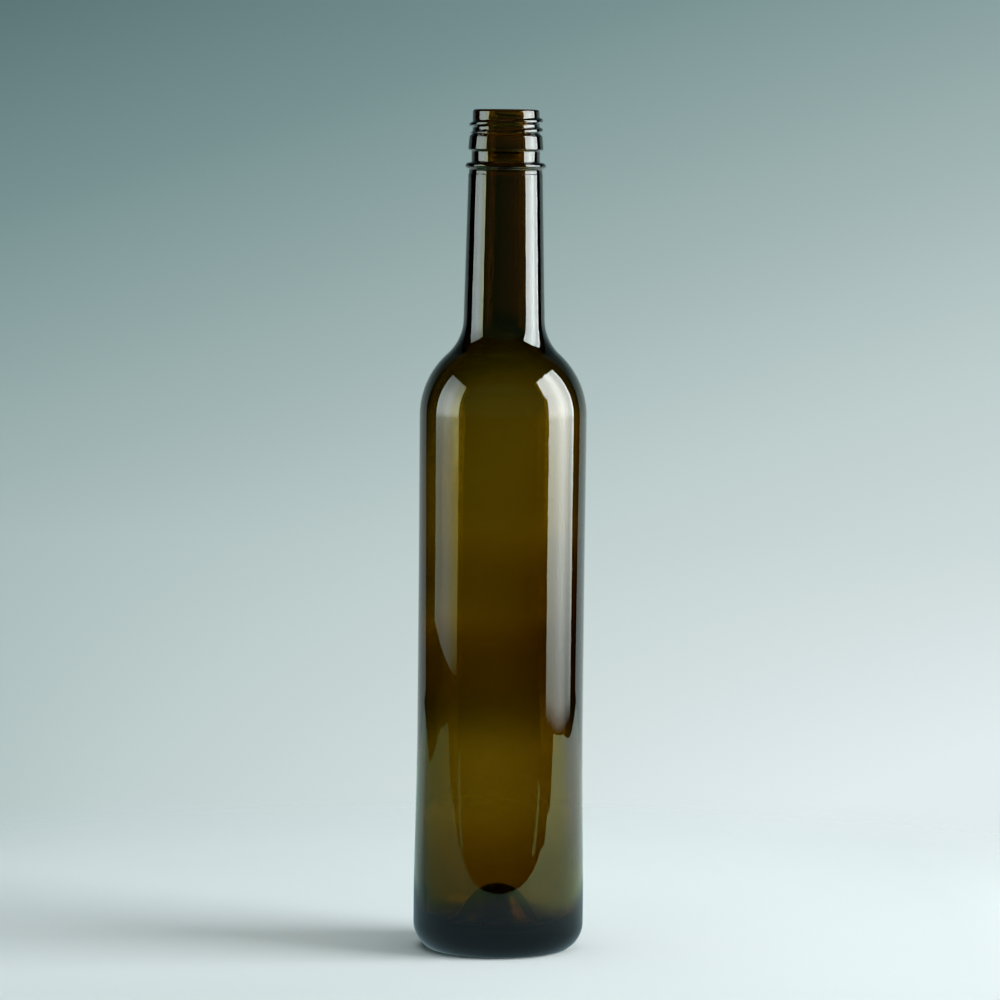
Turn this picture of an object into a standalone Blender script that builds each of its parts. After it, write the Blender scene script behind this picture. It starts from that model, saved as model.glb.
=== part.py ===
"""A slim half-litre wine bottle of dark olive glass, empty and uncapped.

It is blown in one piece: a punt pushed up into the foot, a straight body, a round shoulder, a long neck
and a roll-on screw finish. The origin is the centre of the foot's bearing ring, +Z runs up the bottle's
axis, and -Y is the side that is looked at. Lengths are in metres.
"""

import math

import bmesh
import bpy
from mathutils import Vector

# Overall
HEIGHT = 0.3141
SIDES = 54

# Foot
FOOT_RADIUS = 0.03198
FOOT_HEIGHT = 0.0155
HEEL_RADIUS = 0.011
HEEL_CENTRE_HEIGHT = 0.0095
RING_INNER_RADIUS = 0.0228
RING_ROUNDING = 0.0016

# Body, which narrows from the foot to the label panel and widens again under the shoulder
PANEL_RADIUS = 0.03108
PANEL_BOTTOM = 0.082
PANEL_TOP = 0.142
SHOULDER_CONTACT_RADIUS = 0.03124
SHOULDER_START = 0.2002
WALL = 0.0032

# Shoulder and neck
SHOULDER_ROUND = 0.0310
NECK_FILLET = 0.0178
NECK_FOOT_RADIUS = 0.01518
NECK_TOP_RADIUS = 0.01393
NECK_TAPER = math.radians(1.33)

# Finish, from the neck's parting step up to the sealing lip
STEP_HEIGHT = 0.2899
COLLAR_RADIUS = 0.01369
BEAD_HEIGHT = 0.2932
BEAD_RADIUS = 0.01502
BEAD_HALF_THICKNESS = 0.00135
GROOVE_RADIUS = 0.01276
BAND_BOTTOM = 0.2991
BAND_TOP = 0.3041
BAND_BOTTOM_RADIUS = 0.01408
BAND_TOP_RADIUS = 0.01362
BAND_SLOPE = 0.0012
FINISH_RADIUS = 0.01247
FINISH_CHAMFER = 0.00035
LIP_ROUNDING = 0.0011

# Screw thread, right-handed, its crest at THREAD_HEIGHT where it passes +X the first time
THREAD_CREST_RADIUS = 0.01370
THREAD_PITCH = 0.00352
THREAD_HEIGHT = 0.3066
THREAD_START = math.radians(-205)
THREAD_END = math.radians(505)
THREAD_FADE = math.radians(45)
THREAD_FOOT_HALF_WIDTH = 0.00120
THREAD_CREST_HALF_WIDTH = 0.00042
THREAD_ROOT_DEPTH = 0.0007
THREAD_STEPS = 66

# Inside of the glass
BORE_RADIUS = 0.0079
BORE_ROUNDING = 0.0007
NECK_INNER_RADIUS = 0.0090
INNER_SHOULDER_ROUND = SHOULDER_ROUND - WALL
INNER_NECK_FILLET = 0.0240
INNER_HEEL_RADIUS = 0.0066
VALLEY_HEIGHT = 0.0088

# What the wall has over WALL, each with its height: the thick ring left where the first glass set in the
# mould, and the heavy glass above the heel
THICKER_WALL = [
    (0.163, 0.0),
    (0.139, 0.00072),
    (0.1275, 0.00072),
    (0.113, 0.00137),
    (0.104, 0.00137),
    (0.0745, 0.0),
    (0.0555, 0.0),
    (0.0285, 0.0011),
]
HEEL_THICKENING = 0.0016

# Punt: a round cap on a steep cone, for the inner and the outer surface
PUNT_SLOPE = math.radians(52)
PUNT_INNER_APEX = 0.0236
PUNT_INNER_CAP = 0.0118
PUNT_OUTER_APEX = 0.0190
PUNT_OUTER_CAP = 0.0085
PUNT_INNER_FLARE = 0.0055
PUNT_OUTER_FLARE = 0.0150
PUNT_OUTER_FLARE_TURN = math.radians(34)

GLASS_COLOUR = (0.075, 0.055, 0.004, 1.0)


def clear_scene():
    for thing in list(bpy.data.objects):
        bpy.data.objects.remove(thing, do_unlink=True)


def arc(centre, radius, start, end, pieces):
    """Points of an arc from one angle to another, as (radius from the bottle's axis, height)."""
    angles = [start + (end - start) * i / pieces for i in range(pieces + 1)]
    return [(centre[0] + radius * math.cos(a), centre[1] + radius * math.sin(a)) for a in angles]


def eased(low, high, share):
    """A value that leaves low and meets high without a corner."""
    return low + (high - low) * (1 - math.cos(math.pi * share)) / 2


def swell(start, end, pieces):
    """A gentle change of the body's radius between two (radius, height) points, both ends left out."""
    shares = [i / pieces for i in range(1, pieces)]
    return [(eased(start[0], end[0], s), start[1] + (end[1] - start[1]) * s) for s in shares]


def shoulder(contact_radius, contact_height, round_radius, fillet_radius, neck_radius, taper, pieces):
    """The convex shoulder and the hollow fillet that turns it into the neck, from below to above."""
    centre = (contact_radius - round_radius, contact_height)
    fillet_r = neck_radius + fillet_radius * math.cos(taper)
    rise = math.sqrt((round_radius + fillet_radius) ** 2 - (fillet_r - centre[0]) ** 2)
    fillet_centre = (fillet_r, centre[1] + rise)
    meeting = math.atan2(rise, fillet_r - centre[0])
    round_part = arc(centre, round_radius, 0, meeting, pieces)
    fillet_part = arc(fillet_centre, fillet_radius, meeting + math.pi, math.pi + taper, pieces // 2)
    return round_part + fillet_part[1:]


def punt_cap(apex, cap_radius, pieces):
    """The punt's round top, from the axis out to where its cone begins."""
    centre = (0, apex - cap_radius)
    return arc(centre, cap_radius, math.pi / 2, math.pi / 2 - PUNT_SLOPE, pieces)


def outer_punt():
    """The hollow under the foot, from its top on the axis to the bearing ring."""
    cap = punt_cap(PUNT_OUTER_APEX, PUNT_OUTER_CAP, 3)
    flat_slope = PUNT_SLOPE - PUNT_OUTER_FLARE_TURN
    # The flare turns the cone outward until it meets the ring's rounded inner edge.
    edge = arc((RING_INNER_RADIUS + RING_ROUNDING, RING_ROUNDING), RING_ROUNDING,
               3 * math.pi / 2 - flat_slope, 3 * math.pi / 2, 2)
    edge_r, edge_z = edge[0]
    centre_r = edge_r + PUNT_OUTER_FLARE * math.sin(flat_slope)
    centre_z = edge_z + PUNT_OUTER_FLARE * math.cos(flat_slope)
    flare = arc((centre_r, centre_z), PUNT_OUTER_FLARE, 3 * math.pi / 2 - PUNT_SLOPE,
                3 * math.pi / 2 - flat_slope, 3)
    return cap + flare[:-1] + edge


def heel():
    """The rounded edge between the bearing ring and the side, which meets the ring at a corner."""
    centre = (FOOT_RADIUS - HEEL_RADIUS, HEEL_CENTRE_HEIGHT)
    return arc(centre, HEEL_RADIUS, -math.asin(HEEL_CENTRE_HEIGHT / HEEL_RADIUS), 0, 5)


def body_side():
    foot = (FOOT_RADIUS, FOOT_HEIGHT)
    panel_foot = (PANEL_RADIUS, PANEL_BOTTOM)
    panel_top = (PANEL_RADIUS, PANEL_TOP)
    contact = (SHOULDER_CONTACT_RADIUS, SHOULDER_START)
    return [foot] + swell(foot, panel_foot, 4) + [panel_foot, panel_top] + swell(panel_top, contact, 3)


def bead():
    """The ring under the groove, half an ellipse from the groove's wall round to the collar's."""
    reach = BEAD_RADIUS - GROOVE_RADIUS
    lowest = -math.acos((COLLAR_RADIUS - GROOVE_RADIUS) / reach)
    circle = arc((0, 0), 1, lowest, math.pi / 2, 5)
    return [(GROOVE_RADIUS + reach * x, BEAD_HEIGHT + BEAD_HALF_THICKNESS * y) for x, y in circle]


def finish():
    """The collar, bead, groove, locking band and lip; the thread is added to them."""
    step = [(NECK_TOP_RADIUS, STEP_HEIGHT - FINISH_CHAMFER), (COLLAR_RADIUS, STEP_HEIGHT)]
    groove_top = [(GROOVE_RADIUS, BAND_BOTTOM - FINISH_CHAMFER)]
    band = [
        (BAND_BOTTOM_RADIUS - FINISH_CHAMFER, BAND_BOTTOM),
        (BAND_BOTTOM_RADIUS, BAND_BOTTOM + FINISH_CHAMFER),
        (BAND_TOP_RADIUS, BAND_TOP - FINISH_CHAMFER),
        (BAND_TOP_RADIUS - FINISH_CHAMFER, BAND_TOP),
        (FINISH_RADIUS, BAND_TOP + BAND_SLOPE),
    ]
    lip_centre = (FINISH_RADIUS - LIP_ROUNDING, HEIGHT - LIP_ROUNDING)
    lip = arc(lip_centre, LIP_ROUNDING, 0, math.pi / 2, 2)
    return step + bead() + groove_top + band + lip


def outside():
    """The outer surface from the top of the punt round the foot and up to the lip's crown."""
    side = shoulder(SHOULDER_CONTACT_RADIUS, SHOULDER_START, SHOULDER_ROUND, NECK_FILLET,
                    NECK_FOOT_RADIUS, NECK_TAPER, 10)
    return outer_punt() + heel() + body_side() + side + finish()


def inner_floor():
    """The inner surface from the wall's foot over the valley to the top of the punt."""
    wall_radius = FOOT_RADIUS - WALL - HEEL_THICKENING
    heel_part = arc((wall_radius - INNER_HEEL_RADIUS, VALLEY_HEIGHT + INNER_HEEL_RADIUS), INNER_HEEL_RADIUS,
                    0, -math.pi / 2, 4)
    cap = punt_cap(PUNT_INNER_APEX, PUNT_INNER_CAP, 4)
    cap_r, cap_z = cap[-1]
    flare_drop = PUNT_INNER_FLARE * (1 - math.cos(PUNT_SLOPE))
    cone_foot = VALLEY_HEIGHT + flare_drop
    cone_r = cap_r + (cap_z - cone_foot) / math.tan(PUNT_SLOPE)
    flare_centre = (cone_r + PUNT_INNER_FLARE * math.sin(PUNT_SLOPE), VALLEY_HEIGHT + PUNT_INNER_FLARE)
    flare = arc(flare_centre, PUNT_INNER_FLARE, 3 * math.pi / 2, 3 * math.pi / 2 - PUNT_SLOPE, 3)
    return heel_part + flare + cap[::-1]


def body_radius(height):
    """The body's outer radius from the foot up to the label panel."""
    share = (height - FOOT_HEIGHT) / (PANEL_BOTTOM - FOOT_HEIGHT)
    return eased(FOOT_RADIUS, PANEL_RADIUS, min(share, 1))


def inside():
    """The inner surface from the lip's crown down the bore to the top of the punt."""
    mouth = arc((BORE_RADIUS + BORE_ROUNDING, HEIGHT - BORE_ROUNDING), BORE_ROUNDING, math.pi / 2, math.pi, 2)
    bore = [(BORE_RADIUS, STEP_HEIGHT)]
    inner_shoulder = shoulder(SHOULDER_CONTACT_RADIUS - WALL, SHOULDER_START, INNER_SHOULDER_ROUND,
                              INNER_NECK_FILLET, NECK_INNER_RADIUS, NECK_TAPER, 8)
    walls = [(body_radius(height) - WALL - extra, height) for height, extra in THICKER_WALL]
    return mouth + bore + inner_shoulder[::-1] + walls + inner_floor()


def new_object(name, mesh):
    thing = bpy.data.objects.new(name, mesh)
    bpy.context.scene.collection.objects.link(thing)
    return thing


def mesh_of(bm, name):
    bmesh.ops.recalc_face_normals(bm, faces=bm.faces)
    mesh = bpy.data.meshes.new(name)
    bm.to_mesh(mesh)
    bm.free()
    return mesh


def turned(name, outline):
    """A closed solid turned from an outline whose two ends lie on the axis."""
    bm = bmesh.new()
    points = [bm.verts.new((r, 0, z)) for r, z in outline]
    edges = [bm.edges.new(pair) for pair in zip(points, points[1:])]
    bmesh.ops.spin(bm, geom=points + edges, cent=(0, 0, 0), axis=(0, 0, 1), angle=2 * math.pi,
                   steps=SIDES, use_merge=True)
    bmesh.ops.remove_doubles(bm, verts=bm.verts, dist=1e-6)
    return new_object(name, mesh_of(bm, name))


def thread_section(angle):
    """One cross-section of the thread, which sinks into the finish towards both of its ends."""
    share = min(angle - THREAD_START, THREAD_END - angle) / THREAD_FADE
    depth = THREAD_CREST_RADIUS - FINISH_RADIUS + THREAD_ROOT_DEPTH / 2
    sink = depth * (1 - math.sin(math.pi / 2 * min(share, 1)))
    height = THREAD_HEIGHT + THREAD_PITCH * angle / (2 * math.pi)
    outward = Vector((math.cos(angle), math.sin(angle), 0))
    root = FINISH_RADIUS - THREAD_ROOT_DEPTH
    crest = THREAD_CREST_RADIUS - sink
    flank = (FINISH_RADIUS + THREAD_CREST_RADIUS) / 2 - sink
    half_flank = (THREAD_FOOT_HALF_WIDTH + THREAD_CREST_HALF_WIDTH) / 2
    corners = [
        (root - sink, -THREAD_FOOT_HALF_WIDTH),
        (FINISH_RADIUS - sink, -THREAD_FOOT_HALF_WIDTH),
        (flank, -half_flank),
        (crest, -THREAD_CREST_HALF_WIDTH),
        (crest, THREAD_CREST_HALF_WIDTH),
        (flank, half_flank),
        (FINISH_RADIUS - sink, THREAD_FOOT_HALF_WIDTH),
        (root - sink, THREAD_FOOT_HALF_WIDTH),
    ]
    return [outward * r + Vector((0, 0, height + z)) for r, z in corners]


def screw_thread(name):
    bm = bmesh.new()
    rings = []
    for i in range(THREAD_STEPS + 1):
        angle = THREAD_START + (THREAD_END - THREAD_START) * i / THREAD_STEPS
        rings.append([bm.verts.new(p) for p in thread_section(angle)])
    for ring, after in zip(rings, rings[1:]):
        for j in range(len(ring)):
            k = (j + 1) % len(ring)
            bm.faces.new((ring[j], ring[k], after[k], after[j]))
    bm.faces.new(rings[0][::-1])
    bm.faces.new(rings[-1])
    return new_object(name, mesh_of(bm, name))


def fuse(thing, addition):
    """Adds a helper solid to an object; the helper itself is not part of the model."""
    addition.hide_render = True
    addition.display_type = 'WIRE'
    union = thing.modifiers.new("fused " + addition.name, 'BOOLEAN')
    union.operation = 'UNION'
    union.solver = 'EXACT'
    union.object = addition


def olive_glass():
    material = bpy.data.materials.new("olive glass")
    material.use_nodes = True
    shader = material.node_tree.nodes["Principled BSDF"]
    shader.inputs["Base Color"].default_value = GLASS_COLOUR
    shader.inputs["Roughness"].default_value = 0.02
    shader.inputs["Metallic"].default_value = 0.0
    shader.inputs["IOR"].default_value = 1.52
    return material


def build_bottle():
    bottle = turned("bottle", outside() + inside())
    fuse(bottle, screw_thread("thread"))
    bottle.data.materials.append(olive_glass())
    bottle.data.shade_smooth()
    bottle.data.set_sharp_from_angle(angle=math.radians(35))
    return bottle


clear_scene()
build_bottle()
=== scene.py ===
"""A slim half-litre wine bottle of dark olive glass, empty and uncapped, on a pale floor.

Lengths are in metres, +Z runs up the bottle's axis from the centre of its foot, and -Y is the side that
the camera looks at.
"""

import math

import bmesh
import bpy
from mathutils import Matrix, Vector, noise


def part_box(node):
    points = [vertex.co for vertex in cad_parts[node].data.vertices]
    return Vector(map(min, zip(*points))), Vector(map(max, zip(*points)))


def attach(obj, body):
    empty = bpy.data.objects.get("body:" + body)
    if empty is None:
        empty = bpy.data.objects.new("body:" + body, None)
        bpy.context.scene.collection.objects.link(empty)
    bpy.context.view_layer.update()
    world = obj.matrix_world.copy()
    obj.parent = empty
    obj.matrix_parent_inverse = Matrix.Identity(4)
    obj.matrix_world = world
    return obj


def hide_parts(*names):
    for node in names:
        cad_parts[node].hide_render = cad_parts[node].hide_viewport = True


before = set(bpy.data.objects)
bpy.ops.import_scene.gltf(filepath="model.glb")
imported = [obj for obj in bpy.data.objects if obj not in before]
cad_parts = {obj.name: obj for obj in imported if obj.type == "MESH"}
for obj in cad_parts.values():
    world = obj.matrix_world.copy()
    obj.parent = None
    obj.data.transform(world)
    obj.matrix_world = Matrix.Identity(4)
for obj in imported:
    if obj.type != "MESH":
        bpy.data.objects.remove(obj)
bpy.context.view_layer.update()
scene = bpy.context.scene


# Camera
# A long lens a little below the bottle's top, looking slightly down. It stands a hair out of level, so
# that the bottle leans to the right in its picture. Light is followed through many turns, because it
# passes the bottle's thick walls again and again.
IMAGE_SIDE_PX = 1000
FOCAL_LENGTH_PX = 4400
SENSOR_MM = 36
CAMERA_DISTANCE = 1.642
CAMERA_HEIGHT = 0.2935
CAMERA_OFFSET = -0.00086
LOOK_DOWN = math.radians(4.354)
LEAN = math.radians(0.58)

camera_data = bpy.data.cameras.new("camera")
camera_data.sensor_width = SENSOR_MM
camera_data.lens = SENSOR_MM * FOCAL_LENGTH_PX / IMAGE_SIDE_PX
camera = bpy.data.objects.new("camera", camera_data)
scene.collection.objects.link(camera)
camera.matrix_world = (
    Matrix.Translation((CAMERA_OFFSET, -CAMERA_DISTANCE, CAMERA_HEIGHT))
    @ Matrix.Rotation(math.pi / 2 - LOOK_DOWN, 4, 'X')
    @ Matrix.Rotation(LEAN, 4, 'Z')
)
scene.camera = camera
scene.view_settings.view_transform = 'Standard'
scene.cycles.max_bounces = 24
scene.cycles.transmission_bounces = 20
scene.cycles.glossy_bounces = 12
scene.cycles.transparent_max_bounces = 12
scene.cycles.blur_glossy = 0
scene.cycles.use_denoising = True


# Air and backdrop
# Behind the bottle the room is a soft gradient, from near white low on the right to a greyed teal high on
# the left. What the glass mirrors of the room is set apart, further down, on cards of its own.
HORIZON_ROW = 165
TILT_ACROSS = 1 / 3
TILT_CENTRE_ROWS = 40
TILT_LIMIT = 0.13
TILT_GROWTH = 0.0038
TILT_GROWS_BELOW = 500
TILT_GROWING_ROWS = 300
ROWS_PER_RISE = 4425
BACKDROP_TONES = [
    (-420, (76, 99, 101)),
    (-195, (93, 118, 120)),
    (5, (119, 145, 146)),
    (275, (160, 180, 179)),
    (500, (191, 207, 206)),
    (725, (210, 222, 222)),
    (980, (226, 237, 239)),
]


def linear(screen_value):
    """A screen colour value from 0 to 255 as the light it stands for, by the usual screen curve."""
    share = screen_value / 255
    if share <= 0.04045:
        return share / 12.92
    return ((share + 0.055) / 1.055) ** 2.4


def tone(red, green, blue):
    return (linear(red), linear(green), linear(blue), 1.0)


class Flow:
    """A value in a node tree. Arithmetic on it adds Math nodes; add() makes any other node."""

    def __init__(self, tree, socket=None):
        self.tree = tree
        self.socket = socket

    def add(self, kind, settings=None, values=None, output=0):
        node = self.tree.nodes.new(kind)
        for name, setting in (settings or {}).items():
            if name == "stops":
                self.set_stops(node.color_ramp, setting)
            else:
                setattr(node, name, setting)
        for name, value in (values or {}).items():
            if isinstance(value, Flow):
                self.tree.links.new(value.socket, node.inputs[name])
            else:
                node.inputs[name].default_value = value
        return Flow(self.tree, node.outputs[output])

    @staticmethod
    def set_stops(ramp, stops):
        while len(ramp.elements) < len(stops):
            ramp.elements.new(1.0)
        for element, (position, colour) in zip(ramp.elements, stops):
            element.position = position
            element.color = colour

    def into(self, kind, name):
        """Links this value to a socket of the tree's output node."""
        output = next(n for n in self.tree.nodes if n.bl_idname == kind)
        self.tree.links.new(self.socket, output.inputs[name])

    def math(self, operation, *others):
        return self.add("ShaderNodeMath", {"operation": operation}, dict(enumerate((self,) + others)))

    def __add__(self, other):
        return self.math('ADD', other)

    def __mul__(self, other):
        return self.math('MULTIPLY', other)

    def __sub__(self, other):
        return self.math('SUBTRACT', other)

    def __rsub__(self, other):
        return (self * -1) + other

    def __truediv__(self, other):
        return self.math('DIVIDE', other)

    __radd__ = __add__
    __rmul__ = __mul__

    def clamped(self, low, high):
        return self.math('MAXIMUM', low).math('MINIMUM', high)

    def stepped(self, start, end):
        """Rises smoothly from 0 at start to 1 at end."""
        sizes = {"Value": self, "From Min": start, "From Max": end}
        return self.add("ShaderNodeMapRange", {"interpolation_type": 'SMOOTHSTEP'}, sizes)

    def mixed(self, first, second):
        """The first colour where this value is 0, the second where it is 1."""
        return self.add("ShaderNodeMixRGB", values={"Fac": self, "Color1": first, "Color2": second})

    def ramp(self, stops):
        """A colour that follows this value through stops, each a place and the colour there."""
        first = stops[0][0]
        span = stops[-1][0] - first
        shades = [((at - first) / span, colour) for at, colour in stops]
        return self.add("ShaderNodeValToRGB", {"stops": shades}, {"Fac": (self - first) / span})


def xyz(tree, coordinates="Object"):
    """The three coordinates of the point that is shaded."""
    place = Flow(tree).add("ShaderNodeTexCoord", output=coordinates)
    return [place.add("ShaderNodeSeparateXYZ", values={"Vector": place}, output=axis) for axis in "XYZ"]


def backdrop():
    world = bpy.data.worlds.new("backdrop")
    world.use_nodes = True
    tree = world.node_tree
    tree.nodes.clear()
    tree.nodes.new("ShaderNodeOutputWorld")
    across, _, rise = xyz(tree, "Generated")
    level_row = (HORIZON_ROW - TILT_CENTRE_ROWS) - rise * ROWS_PER_RISE
    growth = (level_row - TILT_GROWS_BELOW).clamped(0, TILT_GROWING_ROWS) * TILT_GROWTH + 1
    row = level_row + across.clamped(-TILT_LIMIT, TILT_LIMIT) * growth * (ROWS_PER_RISE * TILT_ACROSS)
    colour = row.ramp([(at, tone(*screen)) for at, screen in BACKDROP_TONES])
    light = colour.add("ShaderNodeBackground", values={"Color": colour, "Strength": 1.0})
    light.into("ShaderNodeOutputWorld", "Surface")
    world.cycles_visibility.glossy = False
    scene.world = world


backdrop()


# Floor
# A pale matt table top, seen from just above and lit by the lamps; its colour also carries painted shade,
# lighter towards the back and darker towards the right. It melts into the backdrop about a forearm's
# length from the bottle. Flat glowing cards, seen by reflections alone, give the glass a painted reflection
# of the real table's outline, with painted light on its top and painted highlights on its bright front
# rims.
FLOOR_DROP = 0.0002
FLOOR_RADIUS = 0.6
FLOOR_SIDES = 96
FLOOR_SOLID_RADIUS = 0.24
FLOOR_GONE_RADIUS = 0.44
FLOOR_TONE = (0.628, 0.684, 0.690)
FLOOR_PAINTED_SHADE_ACROSS = [(-0.18, 1.07), (-0.04, 1.01), (0.04, 0.99), (0.11, 0.93), (0.18, 0.85)]
FLOOR_PAINTED_SHADE_ALONG = [(-0.10, 0.98), (-0.07, 1.0), (0.10, 1.07), (0.20, 1.11), (0.32, 1.17), (0.44, 1.20)]
FLOOR_LEAN = 2.1
FLOOR_LEAN_REACH = 0.2
FLOOR_LEAN_DEPTH = 0.3
TABLE_FRONT = [(-0.70, -0.170), (-0.55, -0.200), (-0.45, -0.238), (-0.27, -0.228), (-0.12, -0.200),
               (0.29, -0.197), (0.47, -0.168), (0.70, -0.130)]
# The rims are strips that glow as painted highlights of the table's front edges.
TABLE_RIMS = [
    [(-0.534, -0.336), (-0.388, -0.274), (-0.279, -0.231)],
    [(0.241, -0.227), (0.345, -0.274), (0.486, -0.323)],
]
TABLE_RIM_WIDTH = 0.030
TABLE_BACK = 0.50
TABLE_SIDES = [(0.69, 0.0), (0.60, 0.26), (0.60, TABLE_BACK),
               (-0.60, TABLE_BACK), (-0.54, 0.22), (-0.69, 0.0)]
TABLE_BRIGHTEST = 2.0
TABLE_LEFT_SLANT = 0.7
TABLE_LEFT_GLOW = [
    (-0.55, (0.25, 0.46, 0.20)),
    (-0.25, (0.25, 0.46, 0.20)),
    (-0.12, (0.22, 0.44, 0.20)),
    (-0.06, (0.13, 0.34, 0.26)),
    (0.04, (0.44, 0.66, 0.60)),
    (0.40, (0.46, 0.66, 0.60)),
]
TABLE_RIGHT_GLOW = [
    (-0.40, (0.50, 0.80, 0.30)),
    (-0.225, (0.50, 0.80, 0.30)),
    (-0.200, (1.15, 1.60, 0.80)),
    (-0.05, (1.13, 1.43, 0.70)),
    (0.05, (1.00, 1.30, 0.75)),
    (0.20, (0.85, 1.05, 0.95)),
    (0.50, (0.72, 0.89, 0.80)),
]
TABLE_LEFT_NEAR_PAINTED_SHADE = (0.22, 0.34, 0.38)
TABLE_RIGHT_NEAR_PAINTED_SHADE = (0.45, 0.60, 0.60)
TABLE_NEAR_WIDTH = 2.2
TABLE_NEAR_TO_FAR = (0.15, 0.23)
TABLE_LEFT_TO_RIGHT = (0.0, 0.17)
TABLE_PAINTED_LIGHT_ACROSS = [(-0.50, 1.0), (0.17, 1.0), (0.30, 1.1), (0.55, 1.45)]


def new_piece(name, bm, material):
    mesh = bpy.data.meshes.new(name)
    bm.to_mesh(mesh)
    bm.free()
    mesh.materials.append(material)
    piece = bpy.data.objects.new(name, mesh)
    scene.collection.objects.link(piece)
    return piece


def empty_material(name):
    material = bpy.data.materials.new(name)
    material.use_nodes = True
    material.node_tree.nodes.clear()
    material.node_tree.nodes.new("ShaderNodeOutputMaterial")
    return material


def profile(value, stops):
    """A strength that follows stops along a coordinate, each a place and the strength there."""
    peak = max(strength for _, strength in stops)
    return value.ramp([(at, (strength / peak,) * 3 + (1.0,)) for at, strength in stops]) * peak


def floor_material():
    material = empty_material("matt floor")
    across, along, _ = xyz(material.node_tree)
    radius = (across * across + along * along).math('SQRT')
    gone = radius.stepped(FLOOR_SOLID_RADIUS, FLOOR_GONE_RADIUS)
    to_right = across.clamped(-FLOOR_LEAN_REACH, FLOOR_LEAN_REACH)
    painted_light_at_back_right = to_right * along.clamped(0, FLOOR_LEAN_DEPTH) * FLOOR_LEAN + 1
    # Painted shade: on top of the lamps' own light, the colour grows lighter towards the back and darker
    # towards the right, and at the back lighter on the right than on the left.
    shade = profile(across, FLOOR_PAINTED_SHADE_ACROSS) * profile(along, FLOOR_PAINTED_SHADE_ALONG) * painted_light_at_back_right
    colour = shade.add("ShaderNodeVectorMath", {"operation": 'SCALE'}, {0: FLOOR_TONE, "Scale": shade})
    matt = gone.add("ShaderNodeBsdfDiffuse", values={"Color": colour})
    clear = gone.add("ShaderNodeBsdfTransparent")
    surface = gone.add("ShaderNodeMixShader", values={0: gone, 1: matt, 2: clear})
    surface.into("ShaderNodeOutputMaterial", "Surface")
    return material


def seen_by(piece, camera=False, diffuse=False, glossy=False, transmission=False, shadow=False):
    """Which rays meet a piece of the stage."""
    piece.visible_camera = camera
    piece.visible_diffuse = diffuse
    piece.visible_glossy = glossy
    piece.visible_transmission = transmission
    piece.visible_shadow = shadow
    piece.visible_volume_scatter = False


def floor():
    bm = bmesh.new()
    bmesh.ops.create_circle(bm, cap_ends=True, segments=FLOOR_SIDES, radius=FLOOR_RADIUS)
    bmesh.ops.translate(bm, verts=bm.verts, vec=(0, 0, -FLOOR_DROP))
    piece = new_piece("floor", bm, floor_material())
    seen_by(piece, camera=True, diffuse=True, transmission=True, shadow=True)


def flat_face(corners):
    bm = bmesh.new()
    bm.faces.new([bm.verts.new(corner) for corner in corners])
    return bm


def scaled_light(light, brightest):
    """A light's colour as a share of the brightest one, because a ramp's colours end at 1."""
    return tuple(part / brightest for part in light) + (1.0,)


def table_glow(along, stops):
    return along.ramp([(at, scaled_light(light, TABLE_BRIGHTEST)) for at, light in stops])


def table_material():
    """A painted reflection of the table as the glass mirrors it: painted light from the right, olive
    further off, and painted shade beside the foot, darker and cooler.
    """
    material = empty_material("painted table reflection")
    across, along, _ = xyz(material.node_tree)
    radius = (across * across * TABLE_NEAR_WIDTH + along * along).math('SQRT')
    side = across.stepped(*TABLE_LEFT_TO_RIGHT)
    slanted = along + across * TABLE_LEFT_SLANT
    # Painted shade: close to the foot the card glows darker and cooler than further off.
    near = side.mixed(scaled_light(TABLE_LEFT_NEAR_PAINTED_SHADE, TABLE_BRIGHTEST),
                      scaled_light(TABLE_RIGHT_NEAR_PAINTED_SHADE, TABLE_BRIGHTEST))
    far = side.mixed(table_glow(slanted, TABLE_LEFT_GLOW), table_glow(along, TABLE_RIGHT_GLOW))
    # Painted light: the glow rises towards the right, where the lamps stand.
    light = radius.add("ShaderNodeEmission", values={
        "Color": radius.stepped(*TABLE_NEAR_TO_FAR).mixed(near, far),
        "Strength": profile(across, TABLE_PAINTED_LIGHT_ACROSS) * TABLE_BRIGHTEST})
    light.into("ShaderNodeOutputMaterial", "Surface")
    return material


def table_card():
    """The table's top and, in front of it on both sides, the strips of its rims, which glow as painted
    highlights of its front edges.
    """
    material = table_material()
    outlines = [TABLE_FRONT + TABLE_SIDES]
    for rim in TABLE_RIMS:
        front_edge = [(x, y - TABLE_RIM_WIDTH) for x, y in rim]
        outlines.append(front_edge + rim[::-1])
    for outline in outlines:
        piece = new_piece("table_card", flat_face([(x, y, -FLOOR_DROP) for x, y in outline]), material)
        seen_by(piece, glossy=True)


floor()
table_card()


# Cards for the room
# Glowing cards, seen by reflections alone. The graded sheet behind the bottle is a painted reflection of
# the backdrop, pale low down and darker upwards, brighter towards the right: it ends to the left and the
# right, so that the bottle keeps a dark line inside each of its edges. The room in front is almost dark, a
# faint green glow that paints its reflection; only the neck and the finish catch what little light there
# is.
SHEET_HEIGHT = 1.1
SHEET_RIGHT_REACH = 0.57
SHEET_LEFT_REACH = 0.51
SHEET_SPREAD_HEIGHT = 0.12
SHEET_SPREAD_REACH = 0.60
SHEET_FOOT_REACH = 0.68
SHEET_TONES = [
    (0.0, (208, 226, 224)),
    (0.20, (170, 190, 188)),
    (0.34, (125, 150, 150)),
    (0.50, (62, 82, 82)),
    (0.80, (45, 62, 62)),
]
SHEET_PAINTED_SHADE_ACROSS = [(-0.6, 0.62), (-0.1, 0.8), (0.1, 1.0), (0.6, 1.2)]
ROOM_DISTANCE = 2.0
ROOM_REACH = 5.0
ROOM_BOTTOM = 0.24
ROOM_TOP = 2.4
ROOM_GLOW = (0.004, 0.068, 0.03)


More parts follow.
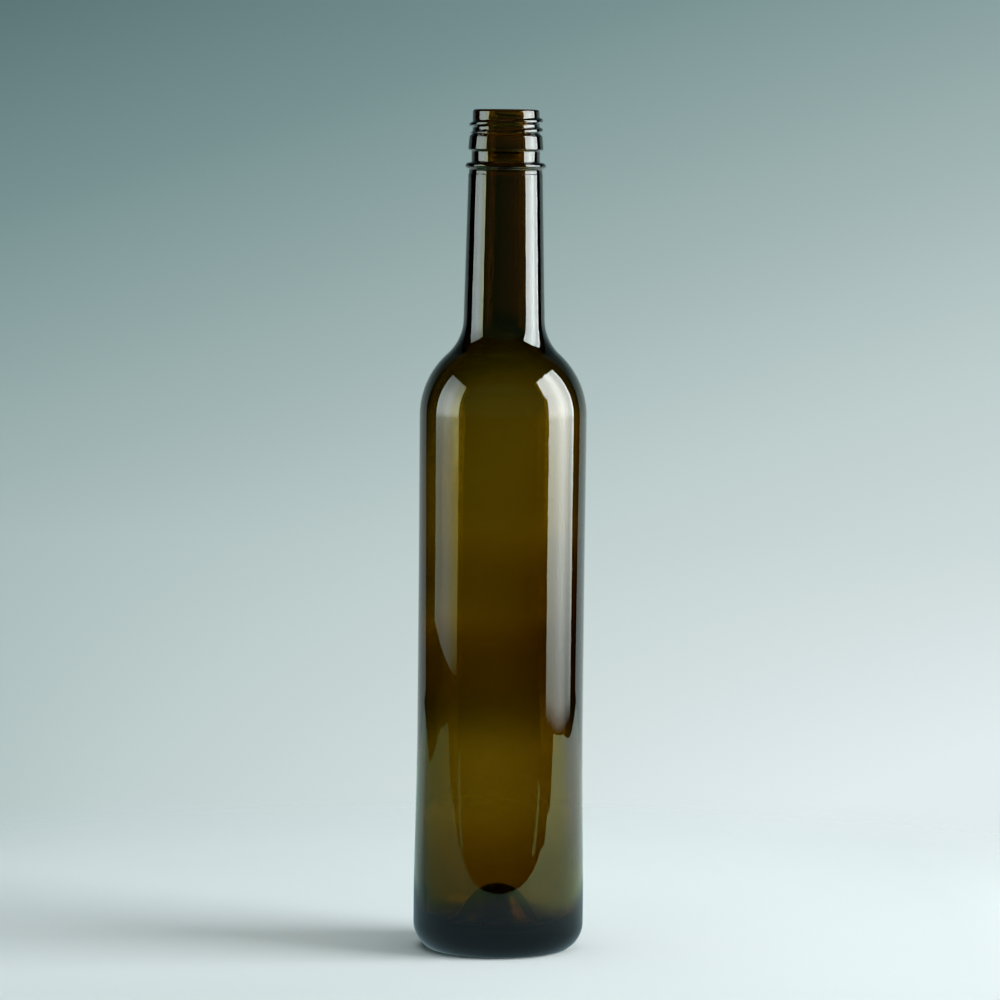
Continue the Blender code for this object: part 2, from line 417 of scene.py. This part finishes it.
def sheet_card():
    material = empty_material("painted backdrop reflection")
    across, _, height = xyz(material.node_tree)
    # Painted reflection: the sheet glows pale low down and darker upwards, and brighter towards the right.
    colour = height.ramp([(at, tone(*screen)) for at, screen in SHEET_TONES])
    light = colour.add("ShaderNodeEmission", values={
        "Color": colour, "Strength": profile(across, SHEET_PAINTED_SHADE_ACROSS)})
    light.into("ShaderNodeOutputMaterial", "Surface")
    right_side = [
        (SHEET_FOOT_REACH, TABLE_BACK, 0),
        (SHEET_SPREAD_REACH, TABLE_BACK, SHEET_SPREAD_HEIGHT),
        (SHEET_RIGHT_REACH, TABLE_BACK, SHEET_HEIGHT),
    ]
    left_side = [
        (-SHEET_LEFT_REACH, TABLE_BACK, SHEET_HEIGHT),
        (-SHEET_SPREAD_REACH, TABLE_BACK, SHEET_SPREAD_HEIGHT),
        (-SHEET_FOOT_REACH, TABLE_BACK, 0),
    ]
    piece = new_piece("sheet_card", flat_face(right_side + left_side), material)
    seen_by(piece, glossy=True)


def room_card():
    material = empty_material("dim room")
    # A faint green glow that paints the reflection of the dim room in front of the bottle.
    light = Flow(material.node_tree).add("ShaderNodeEmission", values={
        "Color": ROOM_GLOW + (1.0,), "Strength": 1.0})
    light.into("ShaderNodeOutputMaterial", "Surface")
    corners = [
        (-ROOM_REACH, -ROOM_DISTANCE, ROOM_BOTTOM),
        (ROOM_REACH, -ROOM_DISTANCE, ROOM_BOTTOM),
        (ROOM_REACH, -ROOM_DISTANCE, ROOM_TOP),
        (-ROOM_REACH, -ROOM_DISTANCE, ROOM_TOP),
    ]
    piece = new_piece("room_card", flat_face(corners), material)
    seen_by(piece, glossy=True)


sheet_card()
room_card()


# Soft boxes
# A tall bright one stands on the right and a weaker one on the left; their long reflections shape the
# bottle. A lamp at the right one lights the floor, mostly from a little in front of the bottle, and a
# wide lamp above keeps the shadows open.
RIGHT_BOX_X = 0.65
RIGHT_BOX_NEAR_FOOT = -0.312
RIGHT_BOX_NEAR = -0.362
RIGHT_BOX_FAR = 0.264
RIGHT_BOX_BOTTOM = 0.002
RIGHT_BOX_NEAR_TOP = 0.89
RIGHT_BOX_FAR_TOP = 0.81
RIGHT_BOX_LOW_LIGHTS = ((13.6, 15.0, 12.0), (13.6, 15.0, 13.8))
RIGHT_BOX_HIGH_LIGHTS = ((13.6, 14.9, 14.6), (13.6, 14.9, 14.6))
RIGHT_BOX_ACROSS = [(0.0, 0.86), (0.1, 0.82), (0.24, 0.79), (0.37, 0.84), (0.52, 1.0), (0.6, 0.98),
                    (0.8, 0.56), (0.9, 0.55), (0.97, 0.80)]
RIGHT_BOX_UP = [(0.003, 0.0), (0.016, 0.24), (0.05, 0.35), (0.12, 0.63), (0.165, 0.80), (0.20, 0.98),
                (0.25, 1.05), (0.45, 1.0)]
LEFT_BOX_X = -0.65
LEFT_BOX_NEAR = -0.340
LEFT_BOX_FAR = 0.152
LEFT_BOX_BOTTOM = 0.022
LEFT_BOX_RAISED_BOTTOM = 0.058
LEFT_BOX_TOP = 0.71
LEFT_BOX_LOW_LIGHTS = ((4.0, 4.4, 1.3), (3.6, 4.4, 3.7))
LEFT_BOX_HIGH_LIGHTS = ((3.8, 4.4, 2.7), (3.7, 4.4, 4.3))
LEFT_BOX_ACROSS = [(0.0, 1.30), (0.06, 1.08), (0.25, 0.98), (0.5, 1.10), (0.75, 0.82), (0.93, 0.78),
                   (0.985, 1.00)]
LEFT_BOX_UP = [(0.021, 0.0), (0.038, 0.20), (0.066, 0.36), (0.12, 0.41), (0.145, 0.46), (0.160, 0.56),
               (0.19, 0.95), (0.23, 1.32), (0.40, 1.25), (0.55, 0.85), (0.70, 0.60)]
LEFT_BOX_EDGE_UP = [(0.128, 0.0), (0.136, 0.5), (0.155, 0.5), (0.165, 0.0)]
BOX_EDGE_SHARE = 0.35
BOX_NEAR_TO_FAR = (0.0, 0.5)
BOX_LOW_TO_HIGH = (0.12, 0.24)
KEY_CENTRE = (0.65, -0.15, 0.39)
KEY_HEIGHT = 0.78
KEY_WIDTH = 0.50
KEY_POWER = 11.3
FILL_HEIGHT = 1.6
FILL_SIDE = 1.8
FILL_POWER = 17.0


def box_material(name, low_lights, high_lights, near, far, across_stops, up_stops, edge_stops=None):
    """A panel's glow, uneven across and upwards; its back gives no light.

    The low and the high lights are pairs of colours, at the end near the camera and further back. The
    edge stops say how much more light the near end gives at each height.
    """
    material = empty_material(name)
    _, along, height = xyz(material.node_tree)
    share = (along - near) / (far - near)
    strength = profile(share, across_stops) * profile(height, up_stops)
    if edge_stops:
        near_end = 1 - share.stepped(0.0, BOX_EDGE_SHARE)
        strength = strength * (near_end * profile(height, edge_stops) + 1)
    back = strength.add("ShaderNodeNewGeometry", output="Backfacing")
    brightest = max(max(light) for light in low_lights + high_lights)
    further_back = share.stepped(*BOX_NEAR_TO_FAR)
    low = further_back.mixed(*[scaled_light(light, brightest) for light in low_lights])
    high = further_back.mixed(*[scaled_light(light, brightest) for light in high_lights])
    glow = strength.add("ShaderNodeEmission", values={
        "Color": height.stepped(*BOX_LOW_TO_HIGH).mixed(low, high),
        "Strength": strength * (1 - back) * brightest})
    glow.into("ShaderNodeOutputMaterial", "Surface")
    return material


def soft_box(name, corners, material):
    piece = new_piece(name, flat_face(corners), material)
    seen_by(piece, glossy=True, transmission=True)


def right_soft_box():
    corners = [
        (RIGHT_BOX_X, RIGHT_BOX_NEAR_FOOT, RIGHT_BOX_BOTTOM),
        (RIGHT_BOX_X, RIGHT_BOX_NEAR, RIGHT_BOX_NEAR_TOP),
        (RIGHT_BOX_X, RIGHT_BOX_FAR, RIGHT_BOX_FAR_TOP),
        (RIGHT_BOX_X, RIGHT_BOX_FAR, RIGHT_BOX_BOTTOM),
    ]
    material = box_material(
        "right light", RIGHT_BOX_LOW_LIGHTS, RIGHT_BOX_HIGH_LIGHTS,
        RIGHT_BOX_NEAR, RIGHT_BOX_FAR, RIGHT_BOX_ACROSS, RIGHT_BOX_UP)
    soft_box("right_soft_box", corners, material)


def left_soft_box():
    corners = [
        (LEFT_BOX_X, LEFT_BOX_NEAR, LEFT_BOX_BOTTOM),
        (LEFT_BOX_X, LEFT_BOX_FAR, LEFT_BOX_RAISED_BOTTOM),
        (LEFT_BOX_X, LEFT_BOX_FAR, LEFT_BOX_TOP),
        (LEFT_BOX_X, LEFT_BOX_NEAR, LEFT_BOX_TOP),
    ]
    material = box_material(
        "left light", LEFT_BOX_LOW_LIGHTS, LEFT_BOX_HIGH_LIGHTS,
        LEFT_BOX_NEAR, LEFT_BOX_FAR, LEFT_BOX_ACROSS, LEFT_BOX_UP, LEFT_BOX_EDGE_UP)
    soft_box("left_soft_box", corners, material)


def floor_light(name, place, turn_round_y, size, size_y, power):
    """A lamp that only matt surfaces see."""
    light = bpy.data.lights.new(name, 'AREA')
    light.shape = 'RECTANGLE'
    light.size = size
    light.size_y = size_y
    light.energy = power
    lamp = bpy.data.objects.new(name, light)
    scene.collection.objects.link(lamp)
    lamp.location = place
    lamp.rotation_euler = (0, turn_round_y, 0)
    seen_by(lamp, diffuse=True)


right_soft_box()
left_soft_box()
floor_light("key", KEY_CENTRE, math.pi / 2, KEY_HEIGHT, KEY_WIDTH, KEY_POWER)
floor_light("fill", (0, 0, FILL_HEIGHT), 0, FILL_SIDE, FILL_SIDE, FILL_POWER)


# Bottle
# One piece of dark olive glass. It is blown in a two-part mould: a punt pushed up into the foot, a straight
# body, a round shoulder, a long neck and a screw finish with a locking band, groove and bead. The outside
# is true but for the mould's two fine seams, and the inside is a little uneven.
HIGHEST_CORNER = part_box("bottle")[1]
HEIGHT = HIGHEST_CORNER.z
SIDES = 208
DOUBLINGS = 4
MERGE_DISTANCE = 2e-6
FOOT_RADIUS = HIGHEST_CORNER.y
FOOT_HEIGHT = 0.0155
HEEL_RADIUS = 0.011
HEEL_CENTRE_HEIGHT = 0.0095
RING_INNER_RADIUS = 0.0228
RING_ROUNDING = 0.0016
PANEL_RADIUS = 0.03108
PANEL_BOTTOM = 0.082
PANEL_TOP = 0.142
SHOULDER_CONTACT_RADIUS = 0.03124
SHOULDER_START = 0.2002
WALL = 0.0032
SHOULDER_ROUND = 0.0310
NECK_FILLET = 0.0178
NECK_FOOT_RADIUS = 0.01518
NECK_TOP_RADIUS = 0.01393
NECK_TAPER = math.radians(1.33)
STEP_HEIGHT = 0.2899
STEP_LEAD = 0.002
STEP_SLOPE = 0.0003
COLLAR_RADIUS = 0.01369
COLLAR_LENGTH = 0.0012
BEAD_HEIGHT = 0.2932
BEAD_RADIUS = 0.01502
BEAD_HALF_THICKNESS = 0.00135
GROOVE_RADIUS = 0.01276
BAND_BOTTOM = 0.2991
BAND_TOP = 0.3041
BAND_BOTTOM_RADIUS = 0.01408
BAND_TOP_RADIUS = 0.01362
BAND_SLOPE = 0.0012
BAND_END_LENGTH = 0.0004
FINISH_RADIUS = 0.01247
LIP_ROUNDING = 0.0011
THREAD_CREST_RADIUS = 0.01370
THREAD_PITCH = 0.00352
THREAD_HEIGHT = 0.3066
THREAD_START = math.radians(-205)
THREAD_END = math.radians(505)
THREAD_TURNS = range(-1, 3)
THREAD_FADE = math.radians(45)
THREAD_FOOT_HALF_WIDTH = 0.00125
THREAD_CREST_HALF_WIDTH = 0.00030
BORE_RADIUS = 0.0079
BORE_ROUNDING = 0.0007
NECK_INNER_RADIUS = 0.0090
INNER_SHOULDER_ROUND = SHOULDER_ROUND - WALL
INNER_NECK_FILLET = 0.0240
INNER_HEEL_RADIUS = 0.0066
VALLEY_HEIGHT = 0.0088
PUNT_SLOPE = math.radians(52)
PUNT_INNER_APEX = 0.0236
PUNT_INNER_CAP = 0.0118
PUNT_OUTER_APEX = 0.0190
PUNT_OUTER_CAP = 0.0085
PUNT_INNER_FLARE = 0.0055
PUNT_OUTER_FLARE = 0.0150
PUNT_OUTER_FLARE_TURN = math.radians(34)
EDGE_ROUNDING = 0.00030
LONGEST_ROUNDING_SHARE = 0.45
HEEL_THICKENING = 0.0016
THICKER_WALL = [
    (0.163, 0.0),
    (0.139, 0.00072),
    (0.1275, 0.00072),
    (0.113, 0.00137),
    (0.104, 0.00137),
    (0.0745, 0.0),
    (0.0555, 0.0),
    (0.0285, 0.0011),
    (VALLEY_HEIGHT + INNER_HEEL_RADIUS, HEEL_THICKENING),
]
THICKER_WALL_PIECES = 8
WALL_UNEVENNESS = 0.00025
WALL_WAVE_LENGTH = 0.035
WALL_OFFSET = 0.00035
UNEVEN_OUTSIDE_RADIUS = BORE_RADIUS * 0.9
UNEVEN_RISE = 0.03
UNEVEN_FADE = 0.02
RING_LEAN = 0.0006
RING_HEIGHT = 0.122
RING_HALF_HEIGHT = 0.045
SEAM_ANGLE = math.radians(-57)
SEAM_HEIGHT = 0.000018
SEAM_HALF_WIDTH = 0.0005
SEAM_WANDER = 0.0003
SEAM_WAVE_LENGTH = 0.006
GLASS_IOR = 1.52
GLASS_ABSORPTION = 1050
GLASS_TINT = (0.70, 0.605, 0.0, 1.0)


def arc(centre, radius, start, end, pieces):
    """Points of an arc from one angle to another, as (radius from the bottle's axis, height)."""
    angles = [start + (end - start) * i / pieces for i in range(pieces + 1)]
    return [(centre[0] + radius * math.cos(a), centre[1] + radius * math.sin(a)) for a in angles]


def straight(start, end, pieces):
    """Points along a line, its first end left out."""
    shares = [i / pieces for i in range(1, pieces + 1)]
    return [(start[0] + (end[0] - start[0]) * s, start[1] + (end[1] - start[1]) * s) for s in shares]


def eased(low, high, share):
    """A value that leaves low and meets high without a corner."""
    return low + (high - low) * (1 - math.cos(math.pi * share)) / 2


def swell(start, end, pieces):
    """A gentle change of radius between two points, the first one left out."""
    shares = [i / pieces for i in range(1, pieces + 1)]
    return [(eased(start[0], end[0], s), start[1] + (end[1] - start[1]) * s) for s in shares]


def rounded(corners, radius, pieces=3):
    """The outline through some corners, each turned into a small arc; both ends stay as they are."""
    points = [corners[0]]
    for before, corner, after in zip(corners, corners[1:], corners[2:]):
        corner = Vector(corner)
        back = Vector(before) - corner
        on = Vector(after) - corner
        turn = math.pi - back.angle(on)
        shorter_side = min(back.length, on.length)
        reach = min(radius * math.tan(turn / 2), shorter_side * LONGEST_ROUNDING_SHARE)
        start = corner + back.normalized() * reach
        end = corner + on.normalized() * reach
        for i in range(pieces + 1):
            share = i / pieces
            low = start.lerp(corner, share)
            high = corner.lerp(end, share)
            points.append(tuple(low.lerp(high, share)))
    points.append(corners[-1])
    return points


def shoulder(contact_radius, contact_height, round_radius, fillet_radius, neck_radius, taper, pieces):
    """The convex shoulder and the hollow fillet that turns it into the neck, from below to above."""
    centre = (contact_radius - round_radius, contact_height)
    fillet_r = neck_radius + fillet_radius * math.cos(taper)
    rise = math.sqrt((round_radius + fillet_radius) ** 2 - (fillet_r - centre[0]) ** 2)
    fillet_centre = (fillet_r, centre[1] + rise)
    meeting = math.atan2(rise, fillet_r - centre[0])
    round_part = arc(centre, round_radius, 0, meeting, pieces)
    fillet_part = arc(fillet_centre, fillet_radius, meeting + math.pi, math.pi + taper, pieces // 2)
    return round_part + fillet_part[1:]


def punt_cap(apex, cap_radius, pieces):
    """The punt's round top, from the axis out to where its cone begins."""
    centre = (0, apex - cap_radius)
    return arc(centre, cap_radius, math.pi / 2, math.pi / 2 - PUNT_SLOPE, pieces)


def outer_punt():
    """The hollow under the foot, from its top on the axis to the bearing ring."""
    cap = punt_cap(PUNT_OUTER_APEX, PUNT_OUTER_CAP, pieces=16)
    flat_slope = PUNT_SLOPE - PUNT_OUTER_FLARE_TURN
    downwards = 3 * math.pi / 2
    edge = arc((RING_INNER_RADIUS + RING_ROUNDING, RING_ROUNDING), RING_ROUNDING,
               downwards - flat_slope, downwards, pieces=5)
    edge_r, edge_z = edge[0]
    centre_r = edge_r + PUNT_OUTER_FLARE * math.sin(flat_slope)
    centre_z = edge_z + PUNT_OUTER_FLARE * math.cos(flat_slope)
    flare = arc((centre_r, centre_z), PUNT_OUTER_FLARE,
                downwards - PUNT_SLOPE, downwards - flat_slope, pieces=12)
    return cap + flare[:-1] + edge


def heel():
    """The rounded edge between the bearing ring and the side, which meets the ring at a corner."""
    centre = (FOOT_RADIUS - HEEL_RADIUS, HEEL_CENTRE_HEIGHT)
    return arc(centre, HEEL_RADIUS, -math.asin(HEEL_CENTRE_HEIGHT / HEEL_RADIUS), 0, pieces=20)


def body_side():
    """The side from the heel over the drawn-in label panel to the foot of the shoulder."""
    foot = (FOOT_RADIUS, FOOT_HEIGHT)
    panel_foot = (PANEL_RADIUS, PANEL_BOTTOM)
    panel_top = (PANEL_RADIUS, PANEL_TOP)
    contact = (SHOULDER_CONTACT_RADIUS, SHOULDER_START)
    draw_in = swell(foot, panel_foot, pieces=14)
    panel = straight(panel_foot, panel_top, pieces=8)
    widening = swell(panel_top, contact, pieces=10)
    return [foot] + draw_in + panel + widening[:-1]


def bead():
    """The ring under the groove, half an ellipse from the groove's wall round to the collar's."""
    reach = BEAD_RADIUS - GROOVE_RADIUS
    lowest = -math.acos((COLLAR_RADIUS - GROOVE_RADIUS) / reach)
    circle = arc((0, 0), 1, lowest, math.pi / 2, pieces=14)
    return [(GROOVE_RADIUS + reach * x, BEAD_HEIGHT + BEAD_HALF_THICKNESS * y) for x, y in circle]


def collar():
    """The parting step of the neck ring, where the neck loses a fraction of a millimetre."""
    corners = [
        (NECK_TOP_RADIUS, STEP_HEIGHT - STEP_LEAD),
        (NECK_TOP_RADIUS, STEP_HEIGHT),
        (COLLAR_RADIUS, STEP_HEIGHT + STEP_SLOPE),
        (COLLAR_RADIUS, STEP_HEIGHT + COLLAR_LENGTH),
    ]
    return rounded(corners, EDGE_ROUNDING)


def band():
    """The groove's wall, the locking band above it and the slope up to the screw's cylinder."""
    corners = [
        (GROOVE_RADIUS, BEAD_HEIGHT + BEAD_HALF_THICKNESS + BAND_END_LENGTH),
        (GROOVE_RADIUS, BAND_BOTTOM - EDGE_ROUNDING),
        (BAND_BOTTOM_RADIUS, BAND_BOTTOM),
        (BAND_TOP_RADIUS, BAND_TOP),
        (FINISH_RADIUS, BAND_TOP + BAND_SLOPE),
        (FINISH_RADIUS, BAND_TOP + BAND_SLOPE + BAND_END_LENGTH),
    ]
    return rounded(corners, 2 * EDGE_ROUNDING, pieces=4)


def screw_wall():
    """The screw's cylinder, in rows fine enough to carry the thread, and the lip's rounded crown."""
    start = (FINISH_RADIUS, BAND_TOP + BAND_SLOPE + BAND_END_LENGTH)
    end = (FINISH_RADIUS, HEIGHT - LIP_ROUNDING)
    lip_centre = (FINISH_RADIUS - LIP_ROUNDING, HEIGHT - LIP_ROUNDING)
    lip = arc(lip_centre, LIP_ROUNDING, 0, math.pi / 2, pieces=8)
    return straight(start, end, pieces=56) + lip[1:]


def outside():
    """The outer surface from the top of the punt round the foot and up to the lip's crown."""
    outer_shoulder = shoulder(SHOULDER_CONTACT_RADIUS, SHOULDER_START, SHOULDER_ROUND, NECK_FILLET,
                              NECK_FOOT_RADIUS, NECK_TAPER, pieces=40)
    step = collar()
    neck = straight(outer_shoulder[-1], step[0], pieces=16)[:-1]
    lower_half = outer_punt() + heel() + body_side() + outer_shoulder
    return lower_half + neck + step + bead() + band() + screw_wall()


def inner_floor():
    """The inner surface from the wall's foot over the valley to the top of the punt."""
    wall_radius = FOOT_RADIUS - WALL - HEEL_THICKENING
    heel_centre = (wall_radius - INNER_HEEL_RADIUS, VALLEY_HEIGHT + INNER_HEEL_RADIUS)
    inner_heel = arc(heel_centre, INNER_HEEL_RADIUS, 0, -math.pi / 2, pieces=16)
    cap = punt_cap(PUNT_INNER_APEX, PUNT_INNER_CAP, pieces=16)
    cap_r, cap_z = cap[-1]
    flare_drop = PUNT_INNER_FLARE * (1 - math.cos(PUNT_SLOPE))
    cone_foot = VALLEY_HEIGHT + flare_drop
    cone_r = cap_r + (cap_z - cone_foot) / math.tan(PUNT_SLOPE)
    flare_centre = (cone_r + PUNT_INNER_FLARE * math.sin(PUNT_SLOPE), VALLEY_HEIGHT + PUNT_INNER_FLARE)
    downwards = 3 * math.pi / 2
    flare = arc(flare_centre, PUNT_INNER_FLARE, downwards, downwards - PUNT_SLOPE, pieces=10)
    cone = straight(flare[-1], cap[-1], pieces=4)[:-1]
    return inner_heel + flare + cone + cap[::-1]


def body_radius(height):
    """The body's outer radius from the foot up to the label panel."""
    share = (height - FOOT_HEIGHT) / (PANEL_BOTTOM - FOOT_HEIGHT)
    return eased(FOOT_RADIUS, PANEL_RADIUS, min(share, 1))


def inner_wall():
    """The body's inner wall, downwards, with a thick ring at mid-height and heavy glass above the heel."""
    points = []
    for (top, extra), (bottom, lower_extra) in zip(THICKER_WALL, THICKER_WALL[1:]):
        for i in range(THICKER_WALL_PIECES):
            share = i / THICKER_WALL_PIECES
            height = top + (bottom - top) * share
            points.append((body_radius(height) - WALL - eased(extra, lower_extra, share), height))
    return points


def inside():
    """The inner surface from the lip's crown down the bore to the top of the punt."""
    mouth = arc((BORE_RADIUS + BORE_ROUNDING, HEIGHT - BORE_ROUNDING), BORE_ROUNDING,
                math.pi / 2, math.pi, pieces=6)
    bore = straight(mouth[-1], (BORE_RADIUS, STEP_HEIGHT), pieces=8)
    inner_shoulder = shoulder(SHOULDER_CONTACT_RADIUS - WALL, SHOULDER_START, INNER_SHOULDER_ROUND,
                              INNER_NECK_FILLET, NECK_INNER_RADIUS, NECK_TAPER, pieces=28)[::-1]
    neck = straight(bore[-1], inner_shoulder[0], pieces=14)[:-1]
    lower_wall = inner_wall()
    upper_wall = swell(inner_shoulder[-1], lower_wall[0], pieces=10)[:-1]
    return mouth + bore + neck + inner_shoulder + upper_wall + lower_wall + inner_floor()


def turn(bm, outline):
    """Spins an outline into a wedge, doubles the wedge round the axis, and returns its points."""
    before = set(bm.verts)
    before_faces = set(bm.faces)
    points = [bm.verts.new((r, 0, z)) for r, z in outline]
    edges = [bm.edges.new(pair) for pair in zip(points, points[1:])]
    wedge = 2 * math.pi / 2 ** DOUBLINGS
    bmesh.ops.spin(bm, geom=points + edges, cent=(0, 0, 0), axis=(0, 0, 1), angle=wedge,
                   steps=SIDES // 2 ** DOUBLINGS)
    for doubling in range(DOUBLINGS):
        faces = [f for f in bm.faces if f not in before_faces]
        copy = bmesh.ops.duplicate(bm, geom=faces)["geom"]
        turned = [v for v in copy if isinstance(v, bmesh.types.BMVert)]
        bmesh.ops.rotate(bm, verts=turned, cent=(0, 0, 0),
                         matrix=Matrix.Rotation(wedge * 2 ** doubling, 3, 'Z'))
    return [v for v in bm.verts if v not in before]


def thread_rise(angle, height):
    """How far the thread stands out of the screw's cylinder at a place."""
    rise = 0
    full = THREAD_CREST_RADIUS - FINISH_RADIUS
    for turns in THREAD_TURNS:
        along = angle + 2 * math.pi * turns
        if THREAD_START < along < THREAD_END:
            share = min(along - THREAD_START, THREAD_END - along) / THREAD_FADE
            crest = THREAD_HEIGHT + THREAD_PITCH * along / (2 * math.pi)
            away = (abs(height - crest) - THREAD_CREST_HALF_WIDTH) / (
                THREAD_FOOT_HALF_WIDTH - THREAD_CREST_HALF_WIDTH)
            swelling = eased(1, 0, min(max(away, 0), 1))
            rise = max(rise, full * swelling * math.sin(math.pi / 2 * min(share, 1)))
    return rise


def move_out(point, distance):
    """Moves a point straight away from the bottle's axis."""
    radius = math.hypot(point.co.x, point.co.y)
    point.co.x *= (radius + distance) / radius
    point.co.y *= (radius + distance) / radius


def raise_thread(points):
    for point in points:
        if BAND_TOP + BAND_SLOPE < point.co.z < HEIGHT - LIP_ROUNDING:
            move_out(point, thread_rise(math.atan2(point.co.y, point.co.x), point.co.z))


def raise_seams(points):
    """The two fine ridges where the halves of the mould met, from the heel up to the collar."""
    step = 2 * math.pi / SIDES
    for point in points:
        radius = math.hypot(point.co.x, point.co.y)
        if radius > NECK_TOP_RADIUS and HEEL_CENTRE_HEIGHT < point.co.z < STEP_HEIGHT:
            angle = math.atan2(point.co.y, point.co.x)
            away = (angle - SEAM_ANGLE + math.pi / 2) % math.pi - math.pi / 2
            side = round(away / step)
            if abs(side) <= 1:
                wander = noise.noise(Vector((0, side, point.co.z / SEAM_WAVE_LENGTH))) * SEAM_WANDER
                turn_by = (side * SEAM_HALF_WIDTH + wander) / radius - away
                point.co.rotate(Matrix.Rotation(turn_by, 3, 'Z'))
            if side == 0:
                move_out(point, SEAM_HEIGHT)


def make_uneven(points):
    """The inner wall wanders a fraction of a millimetre and stands to the left, most at the ring."""
    for point in points:
        radius = math.hypot(point.co.x, point.co.y)
        if radius > UNEVEN_OUTSIDE_RADIUS:
            height = point.co.z
            low = min(height / UNEVEN_RISE, 1)
            high = min(max((STEP_HEIGHT - height) / UNEVEN_FADE, 0), 1)
            drift = noise.noise(point.co / WALL_WAVE_LENGTH) * WALL_UNEVENNESS * low * high
            body = min(max((SHOULDER_START - height) / UNEVEN_FADE, 0), 1) * low
            ring = max(1 - abs(height - RING_HEIGHT) / RING_HALF_HEIGHT, 0)
            lean = (WALL_OFFSET + RING_LEAN * eased(0, 1, ring)) * body
            move_out(point, drift - lean * point.co.x / radius)


def olive_glass():
    """Clear glass that takes blue out of the light most, then green, then red."""
    material = empty_material("olive glass")
    glass = Flow(material.node_tree).add("ShaderNodeBsdfPrincipled", values={
        "Base Color": (1, 1, 1, 1), "Roughness": 0.0, "IOR": GLASS_IOR, "Transmission Weight": 1.0})
    glass.into("ShaderNodeOutputMaterial", "Surface")
    tint = glass.add("ShaderNodeVolumeAbsorption", values={
        "Color": GLASS_TINT, "Density": GLASS_ABSORPTION})
    tint.into("ShaderNodeOutputMaterial", "Volume")
    return material


def bottle():
    bm = bmesh.new()
    outer_points = turn(bm, outside())
    raise_thread(outer_points)
    raise_seams(outer_points)
    make_uneven(turn(bm, inside()))
    bmesh.ops.remove_doubles(bm, verts=bm.verts, dist=MERGE_DISTANCE)
    bmesh.ops.recalc_face_normals(bm, faces=bm.faces)
    for face in bm.faces:
        face.smooth = True
    piece = new_piece("glass_bottle", bm, olive_glass())
    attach(piece, "root")
    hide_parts("bottle")


bottle()
